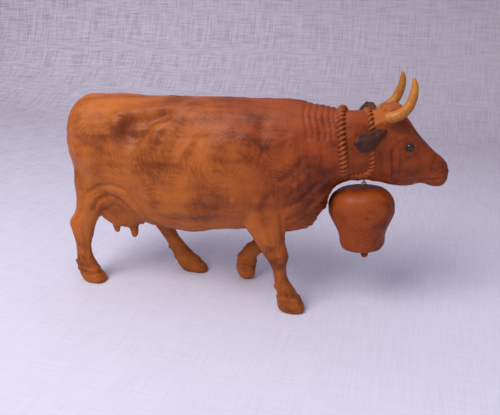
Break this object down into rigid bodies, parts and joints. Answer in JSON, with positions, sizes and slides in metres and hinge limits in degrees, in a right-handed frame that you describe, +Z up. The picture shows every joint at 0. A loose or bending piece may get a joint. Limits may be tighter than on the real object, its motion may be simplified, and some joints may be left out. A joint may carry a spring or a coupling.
{
  "type": "cow figurine",
  "caption": "Carved wooden cow walking with its head turned aside, with curved horns, leather ears, twisted neck ropes and a hollow bell that swings under its throat.",
  "frame": {"origin": "floor level under the middle of the figure's overall box", "axes": "+X towards the head, +Y to the cow's left, +Z up"},
  "size_m": [0.1958, 0.0481, 0.118],
  "materials": {
    "body_wood": "satin, oiled or waxed",
    "horn_wood": "satin",
    "ear_leather": "matt",
    "eye_bead": "gloss black",
    "rope_wood": "satin",
    "wire_brass": "dull",
    "bell_wood": "satin"
  },
  "bodies": {
    "cow": {"carved_body": "body_wood", "horn_left": "horn_wood", "horn_right": "horn_wood", "ear_left": "ear_leather", "ear_right": "ear_leather", "eye_left": "eye_bead", "eye_right": "eye_bead", "tail": "body_wood", "neck_rope": "rope_wood", "head_rope": "rope_wood", "throat_screw_eye": "wire_brass"},
    "link": {"hanger_link": "wire_brass"},
    "bell": {"bell_shell": "bell_wood", "bell_staple": "wire_brass"},
    "striker": {"clapper": "bell_wood"}
  },
  "joints": [
    {"name": "link_rock", "type": "hinge", "parent": "cow", "child": "link", "pos_m": [0.0602, 0.001, 0.06715], "axis": [0, 1, 0], "range_deg": [-11, 2]},
    {"name": "bell_swing", "type": "hinge", "parent": "link", "child": "bell", "pos_m": [0.0602, 0.001, 0.0658], "axis": [1, 0, 0], "range_deg": [-15, 15]},
    {"name": "clapper_swing", "type": "hinge", "parent": "bell", "child": "striker", "pos_m": [0.0602, 0.001, 0.06115], "axis": [0, 1, 0], "range_deg": [-11.5, 16]}
  ]
}
